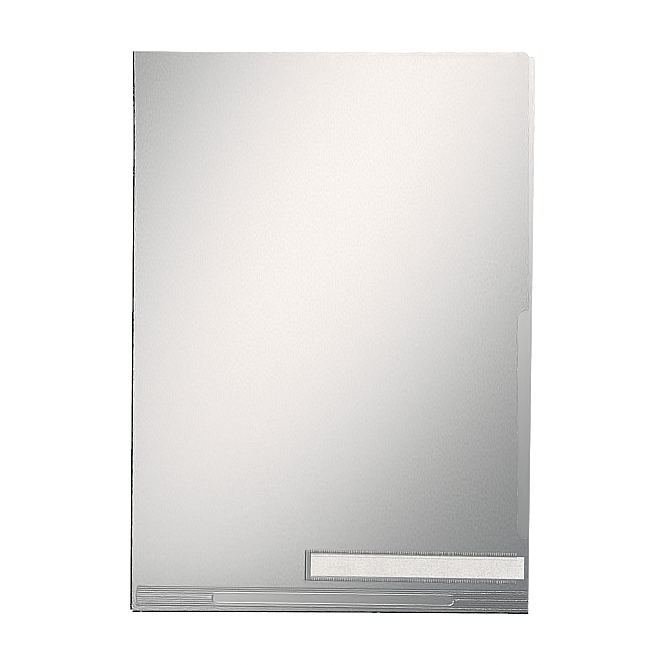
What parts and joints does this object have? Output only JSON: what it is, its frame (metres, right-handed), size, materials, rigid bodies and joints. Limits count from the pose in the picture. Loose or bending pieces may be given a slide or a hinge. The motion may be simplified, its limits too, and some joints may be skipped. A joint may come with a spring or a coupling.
{
  "type": "sheet protector",
  "caption": "Clear A4 sleeve folded at the left and welded at the bottom, open at top and right, with a thumb notch, a ribbed strip and a welded label pocket holding a card.",
  "frame": {"origin": "under the middle of the sleeve's box, on the plane of its back face", "axes": "+X towards the open right edge, +Y towards the open top edge, +Z out of the front face"},
  "size_m": [0.2238, 0.311, 0.0014],
  "materials": {
    "film": "satin",
    "fold": "satin",
    "bead": "satin",
    "embossing": "satin",
    "window": "gloss",
    "weld": "satin",
    "card": "matte"
  },
  "bodies": {
    "folder": {"back_sheet": "film", "spine_fold": "fold", "front_sheet": "film", "bottom_weld": "bead", "ribbed_strip": "embossing", "label_window": "window", "label_weld_top": "weld", "label_weld_bottom": "weld", "label_weld_end": "weld"},
    "front_flap": {"front_flap": "film", "thumb_tab": "film"},
    "label_card": {"label_card": "card"}
  },
  "joints": [
    {"name": "front_open", "type": "hinge", "parent": "folder", "child": "front_flap", "pos_m": [0.00257, 0.0251, 0.0009], "axis": [0.6064, -0.7951, 0], "range_deg": [0, 45], "stiffness_Nm_per_rad": 0.003},
    {"name": "label_slide", "type": "slide", "parent": "folder", "child": "label_card", "axis": [0.9999, -0.0122, 0], "range_m": [0, 0.105]}
  ]
}
